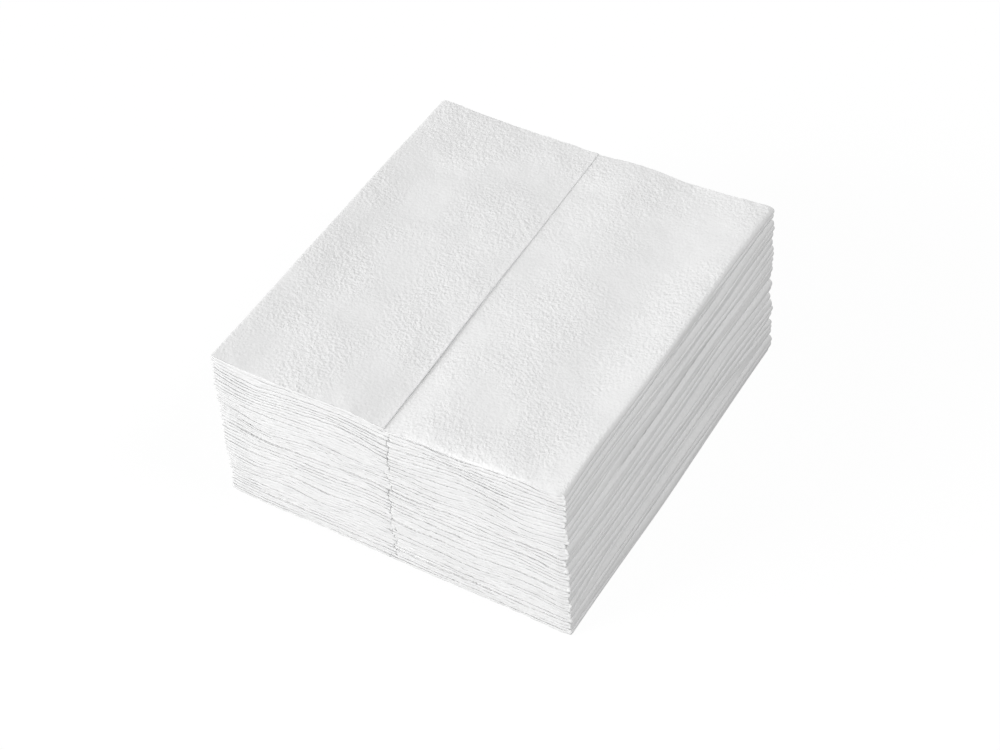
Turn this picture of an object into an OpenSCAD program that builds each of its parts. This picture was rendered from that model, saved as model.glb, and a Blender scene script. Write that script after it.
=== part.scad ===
// A stack of folded nonwoven wipes that stands on its lowest wipe.
// Each wipe is one sheet whose two side flaps are folded in to meet at a centre seam, so it shows
// two plies at its cut ends and one round fold at each side. The seam runs along Y, the folds are
// at the two X sides, and the origin is the centre of the footprint on the table.

/* [Wipe] */
// Width of a folded wipe, from fold to fold
folded_width = 160; // [120:1:260]
// Length of a wipe along its folds
folded_length = 180; // [90:1:300]
// Thickness of one ply as it lies in the stack
ply_thickness = 1.35; // [1:0.05:3]
// Air between a wipe's base ply and its flaps
fold_air = 0.3; // [0.1:0.05:0.8]
// Distance between the two flap edges at the centre seam
seam_gap = 1.2; // [0.4:0.1:6]

/* [Stack] */
// Number of wipes in the stack
wipe_count = 25; // [18:1:50]
// Air between one wipe and the next
wipe_air = 0.12; // [0.05:0.01:0.4]
// Share by which one wipe may be loftier or flatter than the usual one
loft_spread = 0.16; // [0:0.01:0.25]
// How far the top of the stack leans to the left of its foot
stack_lean = 3.5; // [0:0.5:8]
// How far a wipe may lie to the side of its place in the leaning stack
side_stray = 0.6; // [0:0.1:4]
// How far a wipe may lie towards either cut end
end_stray = 0.8; // [0:0.1:4]
// How far a wipe's seam may lie from the stack's middle
seam_stray = 1.3; // [0:0.1:5]

/* [Lie of the plies] */
// Depth of the ripples that the plies take in the body of the stack
ripple_depth = 1.4; // [0:0.1:2]
// Length of one long ripple across the stack
ripple_length = 60; // [45:1:90]
// How far the wipes at half height sag inside the left folds
fold_sag = 3; // [0:0.1:4]
// How far the top sinks along the centre seam
seam_dip = 1.6; // [0:0.1:3]
// How far the folded edges spring up at the top of the stack
edge_loft = 1.8; // [0:0.1:4]
// How much higher the top lies at the right folds than at the left ones
right_rise = 6; // [0:0.5:9]

/* [Hidden] */
// Height of one wipe in the stack, with the air above it
wipe_pitch = 2 * ply_thickness + fold_air + wipe_air;
// Places across the width where the height of each wipe is worked out
station_count = 20;
stations = [for (j = [0 : station_count]) folded_width * (j / station_count - 0.5)];
// Least distance from a station to a fold or a flap edge for the outline to bend there
station_clear = 0.4;
// Steps in the outer half circle of a fold and in the tighter one inside it
outer_steps = 8;
inner_steps = 4;
// Width of the margin that springs up beside each fold
loft_width = 24;
// Width of the valley along the centre seam
valley_width = 24;
// Distance from the left folds to the deepest line of the sag, and the width of the sag
sag_inset = 16;
sag_width = 36;
// Share of the ripples' depth that is left at the top of the stack
top_ripple = 0.15;
// Share of the ripples' depth that the long ripple has; the short one has the rest
long_ripple = 0.65;
// Short ripples in the length of a long one
short_ripples = 1.7;
// Ripple lengths by which each ripple wanders sideways from the table to the top
long_wander = 0.9;
short_wander = -1.3;
// Seeds that fix how the wipes lie
loft_seed = 5;
side_seed = 11;
end_seed = 23;
seam_seed = 37;
// Share of a wipe's own stray when the sway of the whole stack counts as 1
own_stray = 0.6;
// Slow sways of the stack in its height, which carry neighbouring wipes the same way
side_sways = 1.6;
end_sways = 2.3;
seam_sways = 1.2;

// Rescales a list so that its lowest value is -1 and its highest is 1
function spread_out(list) =
    let (low = min(list), high = max(list))
    [for (v = list) 2 * (v - low) / (high - low) - 1];

// A stray for each wipe, from -1 to 1: a sway of the whole stack with a small one of its own on it
function strays(seed, sways) =
    let (own = rands(-1, 1, wipe_count, seed))
    spread_out([for (i = [0 : wipe_count - 1]) own_stray * own[i] + sin(360 * sways * i / wipe_count)]);

// Shifts a list so that its lowest value lies as far below 0 as its highest lies above
function centred(list) = let (middle = (min(list) + max(list)) / 2) [for (v = list) v - middle];

leans = [for (k = [0 : wipe_count - 1]) stack_lean * (0.5 - k / wipe_count)];
side_strays = centred(leans + side_stray * strays(side_seed, side_sways));
end_strays = end_stray * strays(end_seed, end_sways);
seam_strays = seam_stray * strays(seam_seed, seam_sways);

// Sum of the list's first values, as many as count says
function sum_of(list, count) = count == 0 ? 0 : list[count - 1] + sum_of(list, count - 1);

// Height of each wipe's underside before the plies ripple, and last the height of the whole stack
lofts = [for (v = rands(-1, 1, wipe_count, loft_seed)) 1 + loft_spread * v];
stack_height = wipe_count * wipe_pitch;
levels = [for (k = [0 : wipe_count]) stack_height * sum_of(lofts, k) / sum_of(lofts, wipe_count)];

// 1 at the middle of a strip of the given width, falling smoothly to 0 at its two edges
function bump(offset, width) =
    let (t = max(0, 1 - abs(offset) * 2 / width))
    t * t * (3 - 2 * t);

// Height that the ripples add at x, where share is the place in the stack: 0 is the table
function ripple(share, x) =
    ripple_depth * (sin(180 * share) + top_ripple * share) * (
        long_ripple * sin(360 * (x / ripple_length + long_wander * share))
        + (1 - long_ripple) * sin(360 * (short_ripples * x / ripple_length + short_wander * share))
    );

// Height at x that everything but the count of plies adds at a place in the stack
function lie(share, x) =
    share * edge_loft * bump(folded_width / 2 - abs(x), 2 * loft_width)
    - share * seam_dip * bump(x, valley_width)
    + share * right_rise * x / folded_width
    - sin(180 * share) * fold_sag * bump(x + folded_width / 2 - sag_inset, sag_width)
    + ripple(share, x);

// The bed that each wipe lies on, as heights at the stations. The lowest bed is the flat table.
beds = [for (k = [0 : wipe_count]) [for (x = stations) [x, levels[k] + lie(k / wipe_count, x)]]];

function bottom_at(k, x) = lookup(x, beds[k]);
function top_at(k, x) = lookup(x, beds[k + 1]) - wipe_air;
function middle_at(k, x) = (bottom_at(k, x) + top_at(k, x)) / 2;
function half_at(k, x) = (top_at(k, x) - bottom_at(k, x)) / 2;

// The ends of the stretch from a to b, and the stations well inside it
function across(a, b) =
    concat(a, [for (x = stations) if (x > a + station_clear && x < b - station_clear) x], b);

function reversed(list) = [for (j = [len(list) - 1 : -1 : 0]) list[j]];

// Points of a half circle about [x, z] from one angle to the other, without its two ends
function half_turn(x, z, radius, from, to, steps) = [
    for (j = [1 : steps - 1])
        let (angle = from + (to - from) * j / steps)
        [x + radius * cos(angle), z + radius * sin(angle)]
];

// Outline of wipe k as seen from a cut end. It runs along the underside of the base ply, round the
// right fold, out and back along the right flap, inside the two folds over the base ply, and out
// and back along the left flap.
function wipe_outline(k) =
    let (
        left_side = side_strays[k] - folded_width / 2,
        right_side = side_strays[k] + folded_width / 2,
        left = left_side + half_at(k, left_side),
        right = right_side - half_at(k, right_side),
        seam = seam_strays[k],
        left_flap = across(left, seam - seam_gap / 2),
        right_flap = across(seam + seam_gap / 2, right),
        base = across(left, right),
        underside = k == 0 ? [left, right] : base,
        air = fold_air / 2
    )
    concat(
        [for (x = underside) [x, bottom_at(k, x)]],
        half_turn(right, middle_at(k, right), half_at(k, right), -90, 90, outer_steps),
        [for (x = reversed(right_flap)) [x, top_at(k, x)]],
        [for (x = right_flap) [x, middle_at(k, x) + air]],
        half_turn(right, middle_at(k, right), air, 90, -90, inner_steps),
        [for (x = reversed(base)) [x, middle_at(k, x) - air]],
        half_turn(left, middle_at(k, left), air, 270, 90, inner_steps),
        [for (x = left_flap) [x, middle_at(k, x) + air]],
        [for (x = reversed(left_flap)) [x, top_at(k, x)]],
        half_turn(left, middle_at(k, left), half_at(k, left), 90, 270, outer_steps)
    );

// One folded wipe, where it lies in the stack
module wipe(k) {
    color([0.93, 0.93, 0.92])
        translate([0, end_strays[k], 0])
            rotate([90, 0, 0])
                linear_extrude(height = folded_length, center = true)
                    polygon(wipe_outline(k));
}

for (k = [0 : wipe_count - 1])
    wipe(k);
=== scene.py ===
"""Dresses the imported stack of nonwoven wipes.

Each wipe is cut as one flat sheet, folded over its solid and laid on the wipes below it, with the
creping, the uneven cut ends, the soft folds and the centre seam that the plain solids leave out.
"""

import math

import bmesh
import bpy
import numpy as np
from mathutils import Matrix, Vector
from mathutils.bvhtree import BVHTree


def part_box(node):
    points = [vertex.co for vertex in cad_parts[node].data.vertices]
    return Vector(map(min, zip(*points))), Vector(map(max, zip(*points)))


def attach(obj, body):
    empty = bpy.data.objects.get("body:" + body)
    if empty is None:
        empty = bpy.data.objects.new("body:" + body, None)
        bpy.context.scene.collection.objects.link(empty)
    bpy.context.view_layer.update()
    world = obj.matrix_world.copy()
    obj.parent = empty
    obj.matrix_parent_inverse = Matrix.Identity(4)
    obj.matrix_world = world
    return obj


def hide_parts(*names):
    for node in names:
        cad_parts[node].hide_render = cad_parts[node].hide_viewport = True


bl_info = {
    "name": "Nonwoven Wipe Stack",
    "version": (1, 0, 0),
    "blender": (4, 5, 0),
    "location": "3D View > Sidebar > Wipes",
    "description": "Folds and stacks nonwoven wipes over their solids and sets up a plain studio",
    "category": "Object",
}

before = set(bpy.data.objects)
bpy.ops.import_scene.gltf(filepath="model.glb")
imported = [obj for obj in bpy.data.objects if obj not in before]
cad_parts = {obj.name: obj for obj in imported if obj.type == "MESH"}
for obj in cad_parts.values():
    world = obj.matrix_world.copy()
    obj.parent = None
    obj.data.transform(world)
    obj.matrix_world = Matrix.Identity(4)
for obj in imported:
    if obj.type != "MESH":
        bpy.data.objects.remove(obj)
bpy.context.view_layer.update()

MM = 0.001
WIPES = sorted(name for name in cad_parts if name.startswith("wipe_"))
TOP = len(WIPES) - 1
# Point near the middle of the stack that the lamps face, in metres
MIDDLE = (0, 0, 0.04)


def length(name, description, default, low, high):
    """A length setting. Its usual, least and largest values are given in millimetres."""
    return bpy.props.FloatProperty(
        name=name, description=description,
        default=default * MM, min=low * MM, max=high * MM, precision=5, unit="LENGTH")


def factor(name, description, default, low=0):
    """A setting that goes up to 1"""
    return bpy.props.FloatProperty(
        name=name, description=description, default=default, min=low, max=1, subtype="FACTOR")


def tint(name, description, default):
    """A colour setting"""
    return bpy.props.FloatVectorProperty(
        name=name, description=description, default=default, min=0, max=1, subtype="COLOR")


def degrees(name, description, default):
    """An angle setting, given in degrees"""
    return bpy.props.FloatProperty(
        name=name, description=description, default=math.radians(default), subtype="ANGLE")


def number(name, description, default, low=0):
    """A plain number setting"""
    return bpy.props.FloatProperty(name=name, description=description, default=default, min=low)


class SheetSizes(bpy.types.PropertyGroup):
    """Sizes of the sheets and of how they lie"""

    step: length("Step", "Distance between the points of a sheet across its folds", 2.1, 1, 8)
    row: length("Row", "Distance between the points of a sheet along its folds", 8, 1, 20)
    sway: length("Sway", "Depth of the long waves that run along the plies", 0.45, 0, 1)
    crinkle: length(
        "Crinkle", "Depth of the short waves in which each ply differs from the next", 0.12, 0, 0.2)
    air: length("Air", "Least air between two plies", 0.035, 0.01, 0.2)
    parting: length("Parting", "Air where two plies part the most", 0.2, 0, 1)
    rounding: length("Rounding", "Width of the soft rounding along each cut edge", 0.4, 0.1, 1)
    cut_thickness: factor(
        "Cut thickness", "Share of a ply's thickness that is left at its cut edge", 0.80, low=0.1)
    stray: length(
        "Stray", "How far each ply's cut end and each fold strays from those beside it", 0.09, 0, 1)
    fray: length("Fray", "How far a cut edge strays from a straight line", 0.11, 0, 1)
    seam_gap: length(
        "Seam gap", "Usual distance between the two flap edges at the centre seam", 0.2, 0.05, 4)


class SheetLook(bpy.types.PropertyGroup):
    """Colour and finish of the nonwoven"""

    # The tone mixes two colours: the full one where the random mottling is light, and the darker one where
    # it is dark and as painted shade in the grooves between plies at the cut ends
    colour: tint("Colour", "Colour of the nonwoven where it is thickest", (0.90, 0.90, 0.90))
    mottle_and_shade_colour: tint(
        "Thin colour", "Colour of the nonwoven in its creping and thin places", (0.82, 0.82, 0.82))
    roughness: factor("Roughness", "Roughness of the fibres' surface", 0.9)
    crepe_depth: length("Crepe depth", "Depth of the creping on the surface", 0.29, 0, 1)


class Studio(bpy.types.PropertyGroup):
    """Place of the camera and strength of the lights"""

    azimuth: degrees("Azimuth", "Turn of the camera about the stack, from the front to the right", 30.49)
    elevation: degrees("Elevation", "Height of the camera above the horizon", 45.66)
    roll: degrees("Roll", "Turn of the camera about its own axis", -1.03)
    distance: length("Distance", "Distance from the camera to the stack", 1059.3, 100, 5000)
    aside: bpy.props.FloatVectorProperty(
        name="Aside", description="How far the stack lies from the camera's axis, to the right and up",
        size=2, default=(1.82 * MM, -17.72 * MM), unit="LENGTH")
    lens: number("Lens", "Focal length of the camera's lens in millimetres", 89.64, low=10)
    key: number("Key light", "Light that falls straight onto a surface that faces the key lamp", 0.99)
    fill: number("Fill light", "Light that falls straight onto a surface that faces the fill lamp", 0.34)
    sky: number("Sky light", "Light that falls from all round", 0.356)


def settings():
    """The add-on's settings in this scene"""
    return bpy.context.scene.wipe_stack


class StackSettings(bpy.types.PropertyGroup):
    """All settings of the wipe stack"""

    sizes: bpy.props.PointerProperty(type=SheetSizes)
    look: bpy.props.PointerProperty(type=SheetLook)
    studio: bpy.props.PointerProperty(type=Studio)


class Swell:
    """A smooth random surface: waves over x, y and the place in the stack, about 1 deep

    across, along and place are the shortest and the longest wave that way, in metres and in wipes.
    With any_way the waves of the surface run in all directions.
    """

    def __init__(self, seed, waves, across, along, place, any_way=False):
        chance = np.random.default_rng(seed)
        turn = 2 * math.pi
        self.across = turn / chance.uniform(*across, waves) * chance.choice([-1, 1], waves)
        self.along = turn / chance.uniform(*along, waves) * chance.choice([-1, 1], waves)
        if any_way:
            heading = turn * (np.arange(waves) + chance.uniform(0, 1, waves)) / waves
            self.across = abs(self.across) * np.cos(heading)
            self.along = abs(self.along) * np.sin(heading)
        self.place = turn / chance.uniform(*place, waves) * chance.choice([-1, 1], waves)
        self.start = chance.uniform(0, turn, waves)

    def __call__(self, x, y, k):
        total = 0
        for across, along, place, start in zip(self.across, self.along, self.place, self.start):
            total = total + np.sin(across * x + along * y + place * k + start)
        return total / math.sqrt(len(self.start) / 2)


def ease(share):
    """0 up to 0, 1 from 1 on, and a smooth rise between"""
    share = np.clip(share, 0, 1)
    return share * share * (3 - 2 * share)


def evened(places, own):
    """Places of the wipes, each with only a share of its own stray from the four nearest ones"""
    plane = np.convolve(np.pad(places, 2, mode="edge"), np.array([1, 2, 3, 2, 1]) / 9, mode="valid")
    return plane + own * (places - plane)


def blend(first, second, share):
    """The first where the share is 0, the second where it is 1, and a mix between"""
    return first * (1 - share) + second * share


def hill(offset, width):
    """1 where the offset is 0, falling smoothly to a little over a third at the width"""
    return np.exp(-(offset / width) ** 2)


class Stack:
    """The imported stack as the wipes' solids give it: beds, sides, ends and seams, in metres"""

    # Places across the stack where the solids are measured, and the outermost of them on a flap
    grid = np.linspace(-84, 84, 169) * MM
    reach = 77 * MM
    # Half width of the strip where a solid's top is carried over its seam's gap
    seam_strip = 5 * MM
    # Places where the gap between the flap edges is looked for, and how deep it is at least
    seam_search = np.linspace(-6, 6, 241) * MM
    gap_depth = 0.9 * MM
    # Points of the grid, to each side, over which a bed is smoothed, and their spread
    smooth_points = 9
    smooth_spread = 3.2

    # Share of its own stray that a wipe keeps at its left folds, and at its other sides
    own_left = 0.5
    own_other = 0.3
    # Beds between two handfuls, how much the stack parts there, and how much at the other beds
    loose_beds = {3: 1.0, 6: 0.5, 7: 0.6, 11: 0.6, 13: 1.1, 16: 1.0, 18: 0.7, 21: 1.0, 23: 0.5}
    loose_elsewhere = 0.12
    # Shares of the parting: fine and everywhere, and wide at the loose beds
    fine_parting = 0.2
    loose_parting = 0.6

    # Hollows along the left and the right side: top bed, depth in mm, height in wipes, and middle
    # and half length in mm
    hollows = (
        ((9, 1.4, 2.6, 10, 80), (17, 1.0, 2.0, -30, 60)),
        (
            (6, 4.0, 3.0, -4, 72), (12, 1.4, 1.6, 30, 50), (16, 1.1, 1.2, -50, 46),
            (18, 1.3, 1.4, 10, 72), (21, 0.6, 1.2, 20, 60),
        ),
    )
    # Shares of a hollow's height from its top bed down, and of its depth there
    hollow_heights = (0, 0.01, 0.8, 1)
    hollow_depths = (0, 0.5, 1, 0)
    # Places at the right folds where two wipes part: bed, most air in mm, middle and half length in
    # mm. They open from the start on, over the length.
    openings = (
        (6, 0.5, -47, 26), (10, 0.3, 0, 70), (12, 0.4, 20, 70), (16, 0.4, -50, 50),
        (16, 0.4, 66, 24), (18, 0.4, 10, 80), (21, 0.3, 0, 50),
    )
    opening_start = 58 * MM
    opening_length = 22 * MM
    # How far the sides bulge over a few wipes, and how far whole handfuls stand out
    bulge_depth = 0.34 * MM
    handful_depth = 0.3 * MM
    # How round the folds are towards a bed: near 0 flat with a narrow groove, at 1 fully round
    usual_groove = (0.2, 0.55)
    loose_groove = 0.8
    top_groove = 0.95

    # Lowest beds, over which the waves grow, and the waves' share in the top face
    flat_beds = 3
    top_calm = 0.5
    # The crinkle's share inside the stack, and the distance over which it fades to that
    inner_crinkle = 0.45
    crinkle_fade = 14 * MM
    # Felting: its margin at the left folds, the distance over which it fades, how much sooner it
    # does so at the right folds, and how far in from the cut ends it goes
    felt_margin = 6 * MM
    felt_fade = 10 * MM
    felt_right = 1.7
    felt_reach = 12 * MM
    # Strength and rarity of the felted patches elsewhere
    patch_strength = 0.8
    patch_level = 0.45

    # The top face along its seam: its ridge, its dip at the front, and their middle and width
    seam_ridge = 0.7 * MM
    seam_dip = 1.1 * MM
    seam_middle = -1 * MM
    seam_width = 11 * MM
    # Where the front part of the top face begins, and how long it takes to
    front_start = 10 * MM
    front_length = 90 * MM
    # Drop at the front edge of the top face: its reach, and its depth left and right of the seam
    drop_reach = 9 * MM
    left_drop = 0.15 * MM
    right_drop = 0.5 * MM
    dimple_depth = 0.045 * MM
    # The worn near right corner: how many beds it takes in, its width and its depth
    worn_beds = 6
    worn_width = 15 * MM
    worn_depth = 1.3 * MM

    def __init__(self, sizes):
        self.sizes = sizes
        lows, highs = np.array([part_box(name) for name in WIPES]).transpose(1, 0, 2)
        self.left = evened(lows[:, 0], self.own_left)
        self.right = evened(highs[:, 0], self.own_other)
        self.front = evened(lows[:, 1], self.own_other)
        self.back = evened(highs[:, 1], self.own_other)
        self.front_plane = evened(lows[:, 1], 0)
        trees = [self.tree(name) for name in WIPES]
        under = np.array([self.heights(tree, 1) for tree in trees])
        over = np.array([self.heights(tree, -1) for tree in trees])
        self.seam = np.array([self.find_seam(tree) for tree in trees])
        beds = [0 * under[0]]
        beds += [(over[k] + under[k + 1]) / 2 for k in range(TOP)]
        beds += [over[TOP]]
        self.beds = np.array([self.smooth(bed) for bed in beds])
        self.beds[0] = 0
        self.set_waves()
        self.set_sides()

    def set_waves(self):
        """The waves of the plies: long ones that many wipes share, and short ones of each ply"""
        self.sway = Swell(3, waves=9, across=(0.034, 0.10), along=(0.07, 0.30), place=(6, 20))
        self.crinkle = Swell(5, waves=12, across=(0.006, 0.024), along=(0.012, 0.06), place=(1.1, 3.1))
        self.parting = Swell(7, waves=12, across=(0.014, 0.07), along=(0.02, 0.12), place=(1.3, 4.3))
        self.middle = Swell(9, waves=10, across=(0.016, 0.06), along=(0.03, 0.12), place=(1.7, 5.1))
        self.felting = Swell(11, waves=8, across=(0.02, 0.05), along=(0.03, 0.10), place=(2.5, 7))
        self.dimples = Swell(
            13, waves=16, across=(0.012, 0.030), along=(0.012, 0.030), place=(1, 2), any_way=True)

    def set_sides(self):
        """The sides: handfuls that stand out, bulges over a few wipes, and sharp or faint grooves"""
        self.bulge = Swell(15, waves=9, across=(1, 2), along=(0.10, 0.6), place=(2.4, 5.0))
        chance = np.random.default_rng(17)
        self.handful_out = chance.normal(0, self.handful_depth, (2, len(self.loose_beds) + 1))
        self.handful_out[:, 0] = self.handful_depth
        self.groove = chance.uniform(*self.usual_groove, (2, TOP + 2))
        for bed in self.loose_beds:
            self.groove[:, bed] = self.loose_groove
        self.groove[:, TOP + 1] = self.top_groove

    def tree(self, name):
        """A solid's faces, for rays to be cast at"""
        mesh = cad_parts[name].data
        points = [vertex.co for vertex in mesh.vertices]
        faces = [tuple(face.vertices) for face in mesh.polygons]
        return BVHTree.FromPolygons(points, faces)

    def heights(self, tree, upward):
        """Heights of a solid's underside (upward 1) or top (upward -1) on the grid"""
        found = []
        for x in self.grid:
            inside = min(max(x, -self.reach), self.reach)
            hit = tree.ray_cast(Vector((inside, 0, -upward)), Vector((0, 0, upward)))[0]
            found.append(hit.z)
        found = np.array(found)
        if upward < 0:
            seam = abs(self.grid) < self.seam_strip
            found[seam] = np.interp(self.grid[seam], self.grid[~seam], found[~seam])
        return found

    def find_seam(self, tree):
        """Middle of the gap between the two flap edges"""
        places = self.seam_search
        down = Vector((0, 0, -1))
        tops = np.array([tree.ray_cast(Vector((x, 0, 1)), down)[0].z for x in places])
        level = np.interp(places, places[[0, -1]], tops[[0, -1]])
        gap = places[tops < np.minimum(level, tops.max()) - self.gap_depth]
        return gap.mean() if len(gap) else 0.0

    def smooth(self, bed):
        """The bed without the corners that the solid's facets give it"""
        points = self.smooth_points
        weights = np.exp(-0.5 * (np.arange(-points, points + 1) / self.smooth_spread) ** 2)
        padded = np.concatenate([np.full(points, bed[0]), bed, np.full(points, bed[-1])])
        return np.convolve(padded, weights / weights.sum(), mode="valid")

    def near_cut(self, y, depth):
        """1 at the two cut ends, fading inwards"""
        distance = np.minimum(y - self.front.mean(), self.back.mean() - y)
        return np.exp(-np.maximum(distance, 0) / depth)

    def side_out(self, side, place, y):
        """How far the side stands out at a place in the stack. side is 0 at the left, 1 at the right."""
        handful = sum(place >= bed for bed in self.loose_beds)
        out = self.handful_out[side][handful] + self.bulge_depth * self.bulge(3.0 * side, y, place)
        for top, depth, height, middle, width in self.hollows[side]:
            # Under such a bed the side stands back, slopes further in, and comes out again lower down
            deep = np.interp((top - place) / height, self.hollow_heights, self.hollow_depths)
            out = out - depth * MM * deep * np.exp(-((y - middle * MM) / (width * MM)) ** 4)
        return out

    def felted(self, k, x, y):
        """How far the plies are pressed into one soft mass, as beside the folds at the cut ends"""
        from_right = self.felt_right * (self.right.mean() - x) + self.felt_margin
        inset = np.minimum(x - self.left.mean(), from_right)
        patchy = self.felting(x, y, k)
        beside = np.clip(1 + 0.3 * patchy, 0.5, 1) * (1 - ease((inset - self.felt_margin) / self.felt_fade))
        patches = self.patch_strength * ease(patchy - self.patch_level)
        return np.maximum(beside, patches) * self.near_cut(y, self.felt_reach)

    def bed(self, k, x, y):
        """Height of the surface under wipe k. The last bed is the stack's top face."""
        if k == 0:
            return 0 * x
        waves = min(1, k / self.flat_beds) * (self.top_calm if k == TOP + 1 else 1)
        crinkled = blend(self.inner_crinkle, 1, self.near_cut(y, self.crinkle_fade))
        height = np.interp(x, self.grid, self.beds[k])
        height = height + waves * self.sizes.sway * self.sway(x, y, k)
        height = height + waves * self.sizes.crinkle * crinkled * self.crinkle(x, y, k)
        if k == TOP + 1:
            height = height + self.top_face(x, y)
        if k > TOP - self.worn_beds:
            # The near right corner of the top wipes is worn down
            corner = hill(self.right[TOP] - x, self.worn_width) * hill(y - self.front[TOP], self.worn_width)
            height = height - self.worn_depth * (k - TOP + self.worn_beds) / (self.worn_beds + 1) * corner
        return height

    def top_face(self, x, y):
        """What the top face adds: a dip to its seam at the front, a drop at its front edge, dimples"""
        front = ease((self.front_start - y) / self.front_length)
        seam = blend(self.seam_ridge, -self.seam_dip, front) * hill(x - self.seam_middle, self.seam_width)
        # The drop is deepest right of the seam and varies a little along the edge
        right = ease((x - 2 * MM) / (14 * MM)) * (0.75 + 0.25 * np.cos((x - 38 * MM) / (17 * MM)))
        near = np.clip(1 - (y - self.front[TOP]) / self.drop_reach, 0, 1.1) ** 2
        drop = (self.left_drop + self.right_drop * right) * near
        return seam - drop + self.dimple_depth * self.dimples(x, y, 0)

    def parted(self, k, x, y):
        """Air between two plies. k counts beds, and k and a half is the air inside wipe k."""
        sizes = self.sizes
        # The two patterns are the same waves at other places, so that they open independently
        fine = 0.6 + 0.4 * np.clip(self.parting(x, y, 7.3 * k), -1, 1.6)
        wide = np.clip(0.2 + 0.8 * self.parting(x / 1.3, y / 2, 3.1 * k + 40), 0, 1.3)
        loose = self.loose_beds.get(k, self.loose_elsewhere) * wide
        opened = self.fine_parting * fine ** 1.2 + self.loose_parting * loose ** 1.4
        air = sizes.air + sizes.parting * opened * (1 - self.felted(k, x, y))
        at_fold = ease((x - self.opening_start) / self.opening_length)
        for bed, most, middle, width in self.openings:
            if k == bed:
                air = air + most * MM * at_fold * hill(y - middle * MM, width * MM)
        return air

    def low(self, k, x, y):
        """Height on which the underside of wipe k lies"""
        air = 0.02 * MM if k == 0 else self.parted(k, x, y) / 2
        return self.bed(k, x, y) + air

    def high(self, k, x, y):
        """Height up to which the top of wipe k comes"""
        air = 0 if k == TOP else self.parted(k + 1, x, y) / 2
        return self.bed(k + 1, x, y) - air


def soft_edge(distance, sizes):
    """Share of a ply's thickness at a distance from its cut edge"""
    t = np.clip(distance / sizes.rounding, 0, 1)
    return sizes.cut_thickness + (1 - sizes.cut_thickness) * np.sqrt(1 - (1 - t) ** 2)


def spread(near, whole, step, both_ends):
    """Shares of a length from 0 to 1: close together at its start or both ends, else a step apart"""
    stop = whole - near[-1] if both_ends else whole
    rest = np.linspace(near[-1], stop, max(2, round((stop - near[-1]) / step) + 1))
    end = whole - near[:-1][::-1] if both_ends else []
    return np.concatenate([near[:-1], rest, end]) / whole


class Fold:
    """How one sheet's points are spread, from the left flap's edge round both folds to the right one's"""

    # Steps round a fold, and the usual lengths of a wipe, a flap and half a base ply
    arc_steps = 8
    wipe_length = 180 * MM
    flap_width = 79 * MM
    half_base = 77 * MM

    # Distances of the first points from a cut end, and from a flap's edge
    ends = np.array([0, 0.05, 0.14, 0.28, 0.5, 1.1, 2.6, 5.2]) * MM
    fine_ends = np.array([0, 0.05, 0.14, 0.28, 0.5, 0.8, 1.2, 1.6, 2.0, 2.5, 3.2, 4.2, 5.6]) * MM
    flap_edge = ends[:6]
    # Places of the base ply's points at the seam, and the room before the next ones
    seam_places = np.array([-1.3, -0.8, -0.5, -0.3, -0.12, 0.12, 0.3, 0.5, 0.8, 1.3]) * MM
    seam_room = 0.6 * MM

    def __init__(self, step, row, ends):
        self.flap = spread(self.flap_edge, self.flap_width, step, both_ends=False)
        self.half = np.linspace(0, 1, round(self.half_base / step) + 1)[:-1]
        self.base_share = np.concatenate([
            self.half / 2, 0.5 + self.seam_places, 1 - self.half[::-1] / 2])
        self.turn = np.linspace(0, 1, self.arc_steps + 1)[1:-1]
        self.rows = spread(ends, self.wipe_length, row, both_ends=True)
        parts = (self.flap, self.turn, self.base_share, self.turn, self.flap)
        stops = np.cumsum([len(part) for part in parts])
        self.across = int(stops[-1])
        numbers = np.split(np.arange(self.across), stops[:-1])
        self.left_flap, self.left_arc, self.base, self.right_arc, self.right_flap = numbers

    def base_places(self, left, seam, right):
        """Where the base ply's points lie from one fold to the other, with some close to the seam"""
        half = self.half[:, None]
        start = seam[:1] + self.seam_places[0] - self.seam_room
        stop = seam[:1] + self.seam_places[-1] + self.seam_room
        return np.concatenate([
            left[:1] + (start - left[:1]) * half,
            seam[:1] + self.seam_places[:, None],
            right[:1] + (stop - right[:1]) * half[::-1]])

    def flat_mesh(self, name):
        """One flat sheet with its two faces and its cut edges, a step between neighbouring points"""
        bm = bmesh.new()
        bmesh.ops.create_grid(bm, x_segments=self.across - 1, y_segments=len(self.rows) - 1, size=0.5)
        bmesh.ops.translate(bm, verts=bm.verts, vec=(0.5, 0.5, 0))
        bmesh.ops.scale(bm, verts=bm.verts, vec=(self.across - 1, len(self.rows) - 1, 1))
        grown = bmesh.ops.extrude_face_region(bm, geom=bm.faces[:], use_keep_orig=True)["geom"]
        inner = [part for part in grown if isinstance(part, bmesh.types.BMVert)]
        bmesh.ops.translate(bm, verts=inner, vec=(0, 0, 1))
        bmesh.ops.recalc_face_normals(bm, faces=bm.faces)
        for face in bm.faces:
            face.smooth = True
        mesh = bpy.data.meshes.new(name)
        bm.to_mesh(mesh)
        bm.free()
        return mesh


def round_corner(distance, radius):
    """How far a cut edge stands back at a distance from the fold where the sheet's corner is round"""
    past = np.clip(1 - distance / radius, 0, 1)
    return radius * (1 - np.sqrt(1 - past * past))


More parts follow.
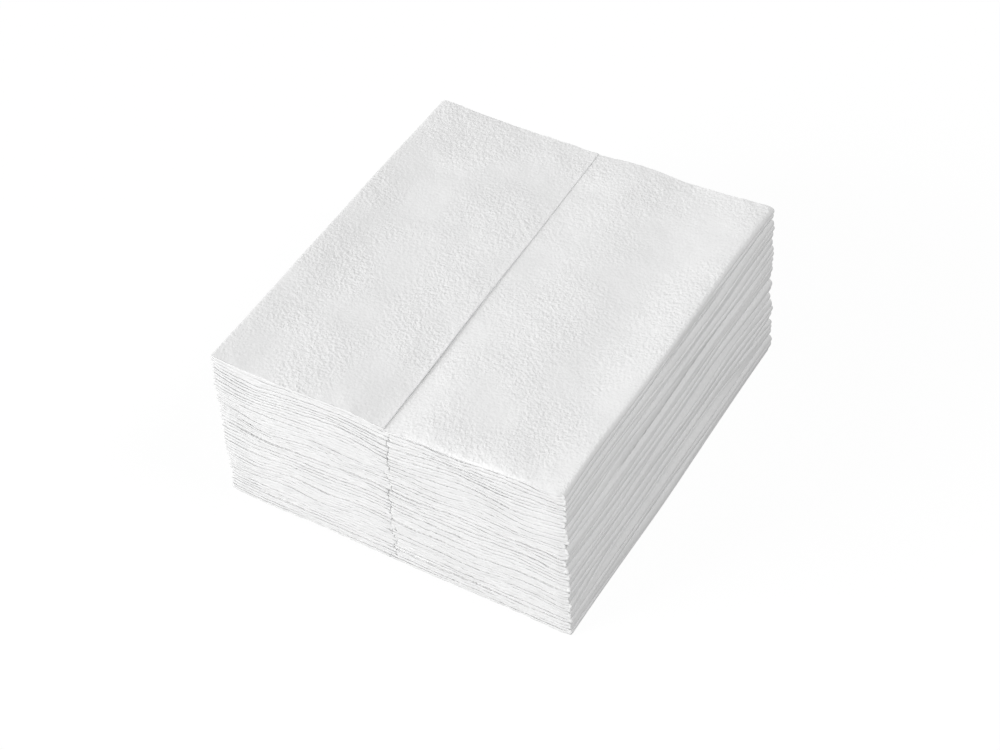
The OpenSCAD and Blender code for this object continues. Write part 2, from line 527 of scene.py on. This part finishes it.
def bend_over(fold, outer, inner, y):
    """Bends the front edge of the top wipe's right flap down over the ply below it"""
    reach = 1.7 * MM
    radius = 2.6 * MM
    most = 0.8
    least = 1e-3
    at = fold.right_flap
    top, under = outer[at], inner[at]
    core = (top + under) / 2
    half = (top[..., 2] - under[..., 2]) / 2
    x = core[..., 0]
    # The bend grows from the seam on, varies a little along the edge, and is gone at the corner
    weight = ease((x - 3 * MM) / (16 * MM)) * (0.8 + 0.2 * np.cos((x - 40 * MM) / (13 * MM)))
    weight *= most - most * ease((x - 57 * MM) / (14 * MM))
    past = np.clip(reach - (y[at] - y[at][:, :1]), 0, None)
    curve = np.maximum(weight, least) / radius
    angle = past * curve
    forward = core[..., 1] + past - np.sin(angle) / curve
    down = core[..., 2] - (1 - np.cos(angle)) / curve
    for points, side in ((top, 1), (under, -1)):
        points[..., 1] = np.where(past > 0, forward - side * half * np.sin(angle), points[..., 1])
        points[..., 2] = np.where(past > 0, down + side * half * np.cos(angle), points[..., 2])
    outer[at], inner[at] = top, under


class Wipe:
    """Wipe k in its place in the stack: where each point of its folded sheet goes"""

    # Least height of a wipe, and depth of the waves between its two plies
    least_height = 0.9 * MM
    middle_wave = 0.1 * MM

    # Distance over which the base ply's cut end turns into the flap's
    turn_length = 16 * MM
    # Share of the fine nibbles in the fray of a cut end
    nibble_share = 0.6
    # Radius of a sheet's corners at its folds, what the top adds, and its share at the back
    corner_radius = 0.4 * MM
    top_radius = 0.2 * MM
    back_corner = 0.15
    # Pressing of the cut ends at the left folds: its share, its margin and its fade
    pressing = 0.8
    pressed_margin = 3 * MM
    pressed_fade = 9 * MM
    # Depth and half width of the notch in the base ply's cut ends at the seam
    notch = 0.35 * MM
    # Top wipe's front: its share of stray, how far its right flap stands out, its base ply back
    top_stray = 0.5
    overhang = 0.7 * MM
    recess = 0.9 * MM

    # How far a fold reaches out past its turning line, and how that varies
    fold_reach = 1.55 * MM
    puff_range = (0.75, 1.3)
    # Left and right: share of the side's form that a fold takes, and its waver
    side_share = (0.6, 1)
    side_waver = (0.16 * MM, 0.2 * MM)
    # A fold's own stray as a share of a cut end's, and how far the top right fold stands back
    fold_stray = 0.7
    top_back = 0.6 * MM
    # Share of a wipe's height, up and down, over which a fold follows the side's slope
    slope_share = 0.49

    # Seam: how far it lies aside of the solid's, its skew, its waver and how its gap varies
    seam_aside = 0.3 * MM
    seam_skew = 0.006
    seam_waver = 0.2 * MM
    gap_range = (0.5, 1.6)
    # Seam of the top wipe: its place, its skew and waver, and its share of the usual gap
    top_seam = -2.3 * MM
    top_skew = -0.0166
    top_waver = 0.15 * MM
    top_gap = 0.3

    # Share by which felting keeps a cut end from thinning
    felt_hold = 0.85
    # Pinch of the base ply's cut ends at the seam: its share, its width and how far in it goes
    pinch = 0.25
    pinch_width = 0.9 * MM
    pinch_reach = 3 * MM
    # Top wipe's step at its seam: rise of the left flap, sink of the right one, their widths
    step_rise = 0.4 * MM
    step_sink = 0.5 * MM
    rise_width = 6 * MM
    sink_width = 5 * MM
    # The step along the seam: where it is highest, over what length, and its least share
    step_middle = -40 * MM
    step_length = 52 * MM
    step_least = 0.3
    # Width of the strip beside a cut end that shows fibres and gets painted shade for the grooves between
    # plies
    cut_width = 0.3 * MM

    def __init__(self, stack, fold, k):
        self.stack = stack
        self.fold = fold
        self.k = k
        self.top = k == TOP
        self.chance = np.random.default_rng(100 + k)
        self.waver = Swell(300 + k, waves=6, across=(1, 2), along=(0.05, 0.25), place=(1, 2))
        self.find_columns()
        self.cut_ends()
        self.turn_folds()
        self.part_flaps()
        self.spread_across()
        self.round_folds()
        self.stack_plies()
        self.soften_edges()
        if self.top:
            bend_over(fold, self.outer, self.inner, self.y)
            self.step_at_seam()

    def find_columns(self):
        """Where each column of points lies across the wipe, and how far past a fold"""
        stack, fold, k = self.stack, self.fold, self.k
        left, right, seam = stack.left[k], stack.right[k], stack.seam[k]
        x = np.zeros(fold.across)
        x[fold.left_flap] = blend(seam, left, fold.flap)
        x[fold.left_arc] = left
        x[fold.base] = blend(left, right, fold.base_share)
        x[fold.right_arc] = right
        x[fold.right_flap] = blend(seam, right, fold.flap[::-1])
        self.is_flap = np.zeros(fold.across)
        self.is_flap[fold.left_flap] = self.is_flap[fold.right_flap] = 1
        inset = np.minimum(x - left, right - x)
        self.column = x
        self.past_fold = np.where(self.is_flap > 0, inset, -inset)
        self.upper = ease(0.5 + self.past_fold / self.turn_length)
        self.right_half = (np.arange(fold.across) > fold.across // 2) * 1.0

    def ragged(self, end):
        """How far each column strays at a cut end. The plies turn into each other round the folds."""
        sizes, x = self.stack.sizes, self.column
        one = 2 * self.k + end
        waves = Swell(200 + one, waves=6, across=(0.03, 0.11), along=(1, 2), place=(0.05, 0.2))
        nibbles = Swell(260 + one, waves=7, across=(0.003, 0.012), along=(1, 2), place=(0.05, 0.2))
        base, right, left = self.chance.normal(0, sizes.stray, 3)
        own = blend(base, np.where(self.right_half > 0, right, left), self.upper)
        wavy = blend(waves(x, 0, 0), waves(x, 0, 1), self.upper)
        fine = blend(nibbles(x, 0, 0), nibbles(x, 0, 1), self.upper)
        return own + sizes.fray * (wavy + self.nibble_share * fine)

    def cut_ends(self):
        """Spreads the rows from the front cut end to the back one"""
        stack, fold, k = self.stack, self.fold, self.k
        front_stray, back_stray = self.ragged(0), self.ragged(1)
        radius = self.corner_radius + self.top_radius * np.exp((k - TOP) / 2)
        corners = round_corner(abs(self.past_fold), radius)
        inset = self.column - stack.left[k] - self.pressed_margin
        pressed = 1 - self.pressing * (1 - ease(inset / self.pressed_fade))
        plane = stack.front_plane[k]
        front = plane + pressed * (stack.front[k] - plane + front_stray) + corners
        if self.top:
            front = stack.front[k] + self.top_stray * pressed * front_stray + corners
            front = front - self.overhang * self.upper * self.right_half
            # The base ply stands back where the right flap hangs down over its end
            share = fold.base_share
            below = ease((share - 0.47) / 0.06) * (1 - ease((share - 0.88) / 0.07))
            front[fold.base] += self.recess * below
        back = stack.back[k] + back_stray - self.back_corner * corners
        notch = np.zeros(fold.across)
        notch[fold.base] = self.notch * hill(fold.base_share - 0.5, self.notch)
        self.y = blend((front + notch)[:, None], (back - notch)[:, None], fold.rows)

    def turn_folds(self):
        """Where the sheet turns at its two folds, which waver in their length"""
        stack, k, y = self.stack, self.k, self.y
        self.puff = self.chance.uniform(*self.puff_range, 2)
        out = list(self.chance.normal(0, self.fold_stray * stack.sizes.stray, 2))
        for side in (0, 1):
            out[side] = out[side] + self.side_waver[side] * self.waver(0.7 * side, y, 0)
            out[side] = out[side] + self.side_share[side] * stack.side_out(side, k + 0.5, y)
        if self.top:
            out[1] = out[1] - self.top_back
        self.left = stack.left[k] + self.fold_reach * self.puff[0] - out[0]
        self.right = stack.right[k] - self.fold_reach * self.puff[1] + out[1]

    def part_flaps(self):
        """Where the two flap edges lie at the seam"""
        stack, k, y = self.stack, self.k, self.y
        skew = self.chance.normal(0, self.seam_skew)
        gap = stack.sizes.seam_gap * self.chance.uniform(*self.gap_range)
        wavering = self.waver(1.3, y, 0)
        self.seam = stack.seam[k] + self.seam_aside + skew * y + self.seam_waver * wavering
        if self.top:
            self.seam = self.top_seam + self.top_skew * y + self.top_waver * wavering
            gap = stack.sizes.seam_gap * self.top_gap
        self.seam_left = self.seam - gap / 2
        self.seam_right = self.seam + gap / 2

    def spread_across(self):
        """Spreads the columns from the left flap's edge round both folds to the right one's"""
        fold = self.fold
        flap = fold.flap[:, None]
        x = np.zeros_like(self.y)
        at = fold.left_flap
        x[at] = blend(self.seam_left[at], self.left[at], flap)
        x[fold.left_arc] = self.left[fold.left_arc]
        x[fold.base] = fold.base_places(self.left, self.seam, self.right)
        x[fold.right_arc] = self.right[fold.right_arc]
        at = fold.right_flap
        x[at] = blend(self.seam_right[at], self.right[at], flap[::-1])
        self.x = x

    def round_folds(self):
        """Carries the outer face out round the folds. lift is -1 on the base ply, 1 on the flaps."""
        stack, fold, k, y = self.stack, self.fold, self.k, self.y
        self.outer_x = self.x.copy()
        self.turned = np.zeros((fold.across, 1))
        self.lift = np.zeros((fold.across, 1))
        self.lift[fold.left_flap] = self.lift[fold.right_flap] = 1
        self.lift[fold.base] = -1
        for side, at, start in ((0, fold.left_arc, 90), (1, fold.right_arc, -90)):
            angle = np.radians(start + 180 * fold.turn)[:, None]
            self.lift[at] = np.sin(angle)
            self.turned[at] = np.cos(angle)
            groove = np.where(self.lift[at] > 0, stack.groove[side][k + 1], stack.groove[side][k])
            out = self.fold_reach * self.puff[side] * abs(self.turned[at]) ** groove
            places = k + 0.5 + self.slope_share * self.lift[at, 0]
            sloped = np.array([stack.side_out(side, place, y[at[0]]) for place in places])
            out = out + self.side_share[side] * (sloped - stack.side_out(side, k + 0.5, y[at]))
            self.outer_x[at] += np.sign(self.turned[at]) * out

    def stack_plies(self):
        """Lays the outer face between the wipe's beds, and the inner one round the air inside"""
        stack, k, x, y = self.stack, self.k, self.x, self.y
        low = stack.low(k, self.outer_x, y)
        high = stack.high(k, self.outer_x, y)
        least = (high - low).min()
        if least < self.least_height:
            raise RuntimeError(f"{WIPES[k]} has only {least / MM:.2f} mm left between its beds")
        air = stack.parted(k + 0.5, x, y)
        middle = (stack.low(k, x, y) + stack.high(k, x, y)) / 2 + self.middle_wave * stack.middle(x, y, k)
        outer_z = (low + high) / 2 + (high - low) / 2 * self.lift
        inner_z = middle + air / 2 * self.lift
        self.outer = np.stack([self.outer_x, y, outer_z], axis=-1)
        self.inner = np.stack([x + air / 2 * self.turned, y, inner_z], axis=-1)

    def soften_edges(self):
        """Thins the plies towards the two cut ends and the two flap edges"""
        stack, fold, x, y = self.stack, self.fold, self.x, self.y
        self.from_end = np.minimum(y - y[:, :1], y[:, -1:] - y)
        felted = stack.felted(self.k + 0.5 * self.is_flap[:, None], x, y)
        thin = 1 - (1 - soft_edge(self.from_end, stack.sizes)) * (1 - self.felt_hold * felted)
        # The top wipe's flap edges are blunter, most of all at the back
        blunt = 0.6 + 0.3 * ease((10 * MM - y) / (70 * MM)) if self.top else 1
        for at, edge in ((fold.left_flap, self.seam_left), (fold.right_flap, self.seam_right)):
            thin_edge = 1 - blunt * (1 - soft_edge(abs(x - edge), stack.sizes))
            thin[at] = np.minimum(thin, thin_edge)[at]
        pinch = 1 - self.pinch * hill(x - self.seam, self.pinch_width) * (self.from_end < self.pinch_reach)
        thin[fold.base] = (thin * pinch)[fold.base]
        self.core = (self.outer + self.inner) / 2
        self.outer = self.core + (self.outer - self.core) * thin[..., None]
        self.inner = self.core + (self.inner - self.core) * thin[..., None]

    def step_at_seam(self):
        """Lets the left flap's edge stand a little above the right one, which sinks beside it"""
        fold, x = self.fold, self.x
        along = blend(self.step_least, 1, hill(self.y - self.step_middle, self.step_length))
        rise = self.step_rise * along * np.exp(-abs(x - self.seam_left) / self.rise_width)
        sink = self.step_sink * along * hill(x - self.seam_right, self.sink_width)
        self.outer[fold.left_flap, :, 2] += rise[fold.left_flap]
        self.inner[fold.left_flap, :, 2] += rise[fold.left_flap]
        self.outer[fold.right_flap, :, 2] -= sink[fold.right_flap]

    def shape(self, mesh):
        """Moves the flat sheet's points to their places, and keeps where they lay on it"""
        # The flat sheet's points count columns, rows and faces, so they say where each point goes
        counts = np.zeros(len(mesh.vertices) * 3)
        mesh.vertices.foreach_get("co", counts)
        column, row, face = np.rint(counts.reshape(-1, 3)).astype(int).T
        where = np.stack([self.outer, self.inner])[face, column, row]
        mesh.vertices.foreach_set("co", where.ravel())

        middle_row = self.core[:, len(self.fold.rows) // 2]
        steps = np.linalg.norm(np.diff(middle_row, axis=0), axis=1)
        along = np.concatenate([[0], np.cumsum(steps)])
        # Each face of each wipe has a height of its own, so that no two show the same creping
        own = 0.01 * face + 0.003 * self.k
        flat = mesh.attributes.new("flat", "FLOAT_VECTOR", "POINT")
        flat.data.foreach_set("vector", np.stack([along[column], where[:, 1], own], axis=1).ravel())
        # The strip beside the cut ends carries the fibre strands and the painted shade of the grooves
        # between plies
        beside = np.clip(1 - self.from_end / self.cut_width, 0, 1)
        cut = mesh.attributes.new("cut", "FLOAT", "POINT")
        cut.data.foreach_set("value", beside[column, row])
        mesh.update()


def shader(tree, kind, inputs=(), **values):
    """A new node with its settings and inputs. An input is a value, or a socket that feeds it."""
    node = tree.nodes.new(kind)
    for key, value in values.items():
        setattr(node, key, value)
    for key, value in dict(inputs).items():
        if isinstance(value, bpy.types.NodeSocket):
            tree.links.new(value, node.inputs[key])
        else:
            node.inputs[key].default_value = value
    return node


def empty_tree(owner):
    """The node tree of a material or a sky, without the nodes that it starts with"""
    owner.use_nodes = True
    owner.node_tree.nodes.clear()
    return owner.node_tree


def placed(context, name, data, matrix=None):
    """A new object in the scene, with this data"""
    holder = bpy.data.objects.new(name, data)
    if matrix:
        holder.matrix_world = matrix
    context.scene.collection.objects.link(holder)
    return holder


def combined(tree, operation, *terms):
    """The sum (ADD) or the product (MULTIPLY) of values and sockets"""
    total = terms[0]
    for term in terms[1:]:
        total = shader(tree, "ShaderNodeMath", {0: total, 1: term}, operation=operation).outputs[0]
    return total


def noise(tree, place, scale, detail, roughness=0.5):
    """A noise from 0 to 1"""
    inputs = {"Vector": place, "Scale": scale, "Detail": detail, "Roughness": roughness}
    return shader(tree, "ShaderNodeTexNoise", inputs).outputs["Fac"]


def stretched(tree, place, scale):
    """Places with each of their three directions scaled"""
    return shader(
        tree, "ShaderNodeMapping", {"Vector": place, "Scale": scale}, vector_type="POINT").outputs[0]


def ramp(tree, value, start, stop, low, high):
    """Low where the value is at the start or less, high from the stop on"""
    inputs = {"Value": value, "From Min": start, "From Max": stop, "To Min": low, "To Max": high}
    return shader(tree, "ShaderNodeMapRange", inputs).outputs[0]


class Nonwoven:
    """Lofty white nonwoven: creped and mottled on its faces, fibrous along its cut edges, where the grooves
    between plies get painted shade
    """

    name = "creped_nonwoven"
    # Cells of the creping per metre: along the sheet, across it and through its thickness
    crepe_cells = (900, 560, 1000)
    # Strands at the cut ends, which are flat and lie along the plies
    strand_cells = (420, 420, 3400)
    # What each pattern adds to the tone, where 0 is the darker colour and 1 the full one. The cut strip's
    # negative tone is painted shade in the grooves between plies at the cut ends.
    tones = {"cloud": 0.55, "fleck": 0.35, "grain": 0.75, "strand": 0.5, "cut": -0.15}
    base_tone = -0.35
    # What each adds to the relief of the faces and of the cut ends, as a share of the crepe depth
    face_relief = {"grain": 1.3, "crepe": 0.7, "fleck": 0.3}
    cut_relief = {"strand": 0.8}
    # Share of the relief that is left in the smoothest patches, and on faces that stand upright
    smooth_patch = 0.35
    upright_face = 0.3

    def __init__(self, look):
        self.look = look
        self.material = bpy.data.materials.new(self.name)
        self.tree = empty_tree(self.material)
        self.set_patterns()
        self.set_cloth()

    def set_patterns(self):
        """The patterns by name"""
        tree = self.tree
        place = shader(tree, "ShaderNodeTexCoord").outputs["Object"]
        flat = shader(tree, "ShaderNodeAttribute", attribute_name="flat").outputs["Vector"]
        # The strip at the cut ends, where the fibre strands show and where the grooves between plies get
        # painted shade
        cut = shader(tree, "ShaderNodeAttribute", attribute_name="cut").outputs["Fac"]
        inputs = {"Vector": stretched(tree, flat, self.crepe_cells), "Scale": 1, "Smoothness": 0.9}
        crepe = shader(tree, "ShaderNodeTexVoronoi", inputs, feature="SMOOTH_F1")
        strand = noise(tree, stretched(tree, place, self.strand_cells), scale=1, detail=2)
        self.patterns = {
            "patch": noise(tree, place, scale=28, detail=1),
            "cloud": noise(tree, place, scale=45, detail=2),
            "fleck": noise(tree, place, scale=240, detail=2, roughness=0.55),
            "grain": noise(tree, place, scale=820, detail=1, roughness=0.6),
            "crepe": crepe.outputs["Distance"],
            "strand": combined(tree, "MULTIPLY", strand, cut),
            "cut": cut,
        }

    def weighed(self, weights):
        """The sum of these patterns, each times its weight"""
        return combined(self.tree, "ADD", *[
            combined(self.tree, "MULTIPLY", self.patterns[name], weight)
            for name, weight in weights.items()])

    def colour(self):
        """The darker colour where the mottling and grain are low and as painted shade in the grooves at the
        cut ends, and the full one elsewhere
        """
        tree, look = self.tree, self.look
        tone = combined(tree, "ADD", self.weighed(self.tones), self.base_tone)
        mix = shader(tree, "ShaderNodeMix", {"Factor": tone}, data_type="RGBA", clamp_factor=True)
        for socket in mix.inputs:
            if socket.type == "RGBA":
                socket.default_value = (*(look.mottle_and_shade_colour if socket.name == "A" else look.colour), 1)
        return next(socket for socket in mix.outputs if socket.type == "RGBA")

    def relief(self):
        """The creping, less in some patches and on upright faces, and the strands at the cut ends"""
        tree = self.tree
        normal = shader(tree, "ShaderNodeNewGeometry").outputs["Normal"]
        level = shader(tree, "ShaderNodeSeparateXYZ", {"Vector": normal}).outputs["Z"]
        strength = ramp(tree, self.patterns["patch"], 0.36, 0.60, self.smooth_patch, 1)
        faced = ramp(tree, level, 0.3, 0.9, self.upright_face, 1)
        creped = combined(tree, "MULTIPLY", self.weighed(self.face_relief), strength, faced)
        height = combined(tree, "ADD", creped, self.weighed(self.cut_relief))
        inputs = {"Strength": 1, "Distance": self.look.crepe_depth, "Height": height}
        return shader(tree, "ShaderNodeBump", inputs).outputs[0]

    def set_cloth(self):
        """The surface: rough, with a little sheen from the fibres that stand out"""
        cloth = shader(self.tree, "ShaderNodeBsdfPrincipled", {
            "Base Color": self.colour(), "Roughness": self.look.roughness, "Normal": self.relief(),
            "Specular IOR Level": 0.25, "Sheen Weight": 0.15, "Sheen Roughness": 0.5,
        })
        output = shader(self.tree, "ShaderNodeOutputMaterial")
        self.tree.links.new(cloth.outputs[0], output.inputs["Surface"])


def add_wipes(context, numbers, step, row, ends):
    setting = settings()
    stack = Stack(setting.sizes)
    fold = Fold(step, row, ends)
    material = bpy.data.materials.get(Nonwoven.name) or Nonwoven(setting.look).material
    flat = fold.flat_mesh("flat_sheet")
    for k in numbers:
        mesh = flat.copy()
        mesh.name = f"sheet_{k + 1:02d}"
        Wipe(stack, fold, k).shape(mesh)
        mesh.materials.append(material)
        piece = placed(context, mesh.name, mesh)
        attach(piece, "root")
        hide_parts(WIPES[k])
    bpy.data.meshes.remove(flat)


class WIPES_OT_fold_body(bpy.types.Operator):
    """Fold and stack all wipes but the top one"""

    bl_idname = "wipe_stack.fold_body"
    bl_label = "Fold the lower wipes"

    def execute(self, context):
        sizes = settings().sizes
        add_wipes(context, range(TOP), sizes.step, sizes.row, Fold.ends)
        return {"FINISHED"}


class WIPES_OT_fold_top(bpy.types.Operator):
    """Fold the top wipe, with finer points because it shows its whole face"""

    bl_idname = "wipe_stack.fold_top"
    bl_label = "Fold the top wipe"

    def execute(self, context):
        sizes = settings().sizes
        add_wipes(context, [TOP], sizes.step / 1.6, sizes.row / 3, Fold.fine_ends)
        return {"FINISHED"}


def aim(place):
    """A matrix at place whose -Z axis points at the middle of the stack"""
    place = Vector(place)
    away = (place - Vector(MIDDLE)).to_track_quat("Z", "Y")
    return Matrix.Translation(place) @ away.to_matrix().to_4x4()


def add_lamp(context, name, place, size, light):
    """A square area lamp that throws this much light onto a surface that faces it"""
    lamp = bpy.data.lights.new(name, "AREA")
    lamp.size = size
    # The light thins with the square of the distance, and a white surface sends back 1 / pi of it
    lamp.energy = light * math.pi ** 2 * Vector(place).length_squared
    placed(context, name, lamp, aim(place))


def seen_directly(tree):
    """1 where the camera, a gloss or a clear surface looks straight at this, and 0 for its light"""
    path = shader(tree, "ShaderNodeLightPath")
    total = combined(tree, "ADD", path.outputs["Is Camera Ray"], path.outputs["Is Glossy Ray"])
    return shader(tree, "ShaderNodeMath", {
        0: total, 1: path.outputs["Is Transmission Ray"]}, operation="ADD", use_clamp=True).outputs[0]


class WIPES_OT_set_stage(bpy.types.Operator):
    """Add the floor, the lamps, the sky and the camera"""

    bl_idname = "wipe_stack.set_stage"
    bl_label = "Set the stage"

    # Places of the two lamps and the lengths of their sides, in metres
    key_place = (-2.3, -2.85, 1.19)
    key_size = 2.1
    fill_place = (1.22, 0.25, 1.86)
    fill_size = 0.7
    # Half the side of the floor, and how far it lies below the lowest wipe
    floor_size = 4
    floor_gap = 0.1 * MM
    # Grey that the floor has for its light, and the white that the camera sees, with its share
    floor_grey = (0.45, 0.45, 0.45, 1)
    floor_white = 1.11
    white_share = 0.85
    # Width of the camera's sensor in millimetres, and the least distance that it sees
    sensor_width = 36
    clip_start = 0.05

    def execute(self, context):
        studio = settings().studio
        self.add_floor(context)
        self.add_sky(context, studio.sky)
        add_lamp(context, "key_lamp", self.key_place, self.key_size, studio.key)
        add_lamp(context, "fill_lamp", self.fill_place, self.fill_size, studio.fill)
        self.add_camera(context, studio)
        context.scene.view_settings.view_transform = "Standard"
        return {"FINISHED"}

    def add_floor(self, context):
        bm = bmesh.new()
        bmesh.ops.create_grid(bm, x_segments=2, y_segments=2, size=self.floor_size)
        bmesh.ops.translate(bm, verts=bm.verts, vec=(0, 0, -self.floor_gap))
        mesh = bpy.data.meshes.new("floor")
        bm.to_mesh(mesh)
        bm.free()
        material = bpy.data.materials.new("floor")
        tree = empty_tree(material)
        matte = shader(tree, "ShaderNodeBsdfDiffuse", {"Color": self.floor_grey})
        white = shader(
            tree, "ShaderNodeEmission", {"Color": (1, 1, 1, 1), "Strength": self.floor_white})
        whiteness = combined(tree, "MULTIPLY", seen_directly(tree), self.white_share)
        both = shader(tree, "ShaderNodeMixShader", {
            0: whiteness, 1: matte.outputs[0], 2: white.outputs[0]})
        output = shader(tree, "ShaderNodeOutputMaterial")
        tree.links.new(both.outputs[0], output.inputs["Surface"])
        mesh.materials.append(material)
        floor = placed(context, "floor", mesh)

    def add_sky(self, context, strength):
        world = bpy.data.worlds.new("sky")
        tree = empty_tree(world)
        light = shader(tree, "ShaderNodeMapRange", {
            "Value": seen_directly(tree), "To Min": strength, "To Max": 1.0})
        sky = shader(tree, "ShaderNodeBackground", {
            "Color": (1, 1, 1, 1), "Strength": light.outputs[0]})
        output = shader(tree, "ShaderNodeOutputWorld")
        tree.links.new(sky.outputs[0], output.inputs["Surface"])
        context.scene.world = world

    def add_camera(self, context, studio):
        azimuth, elevation, roll = studio.azimuth, studio.elevation, studio.roll
        back = Vector((
            math.sin(azimuth) * math.cos(elevation),
            -math.cos(azimuth) * math.cos(elevation),
            math.sin(elevation)))
        right = Vector((0, 0, 1)).cross(back).normalized()
        up = back.cross(right)
        right, up = (
            right * math.cos(roll) + up * math.sin(roll),
            up * math.cos(roll) - right * math.sin(roll))
        place = back * studio.distance - right * studio.aside[0] - up * studio.aside[1]
        camera = bpy.data.cameras.new("camera")
        camera.lens = studio.lens
        camera.sensor_width = self.sensor_width
        camera.clip_start = self.clip_start
        turn = Matrix((right, up, back)).transposed().to_4x4()
        matrix = Matrix.Translation(place) @ turn
        context.scene.camera = placed(context, "camera", camera, matrix)


class WIPES_PT_stack(bpy.types.Panel):
    """Sizes, look and steps of the wipe stack"""

    bl_idname = "WIPES_PT_stack"
    bl_label = "Nonwoven Wipe Stack"
    bl_space_type = "VIEW_3D"
    bl_region_type = "UI"
    bl_category = "Wipes"

    def draw(self, context):
        setting = settings()
        for title, group in (
            ("Sheets", setting.sizes), ("Look", setting.look), ("Studio", setting.studio),
        ):
            column = self.layout.column(align=True)
            column.label(text=title)
            for name in group.bl_rna.properties.keys():
                if name not in ("rna_type", "name"):
                    column.prop(group, name)
        for step in STEPS:
            self.layout.operator(step.bl_idname)


STEPS = (WIPES_OT_fold_body, WIPES_OT_fold_top, WIPES_OT_set_stage)
CLASSES = (SheetSizes, SheetLook, Studio, StackSettings, *STEPS, WIPES_PT_stack)


def register():
    for one in CLASSES:
        bpy.utils.register_class(one)
    bpy.types.Scene.wipe_stack = bpy.props.PointerProperty(type=StackSettings)


def unregister():
    del bpy.types.Scene.wipe_stack
    for one in reversed(CLASSES):
        bpy.utils.unregister_class(one)


def main():
    register()
    bpy.ops.wipe_stack.fold_body()
    bpy.ops.wipe_stack.fold_top()
    bpy.ops.wipe_stack.set_stage()


if __name__ == "__main__":
    main()
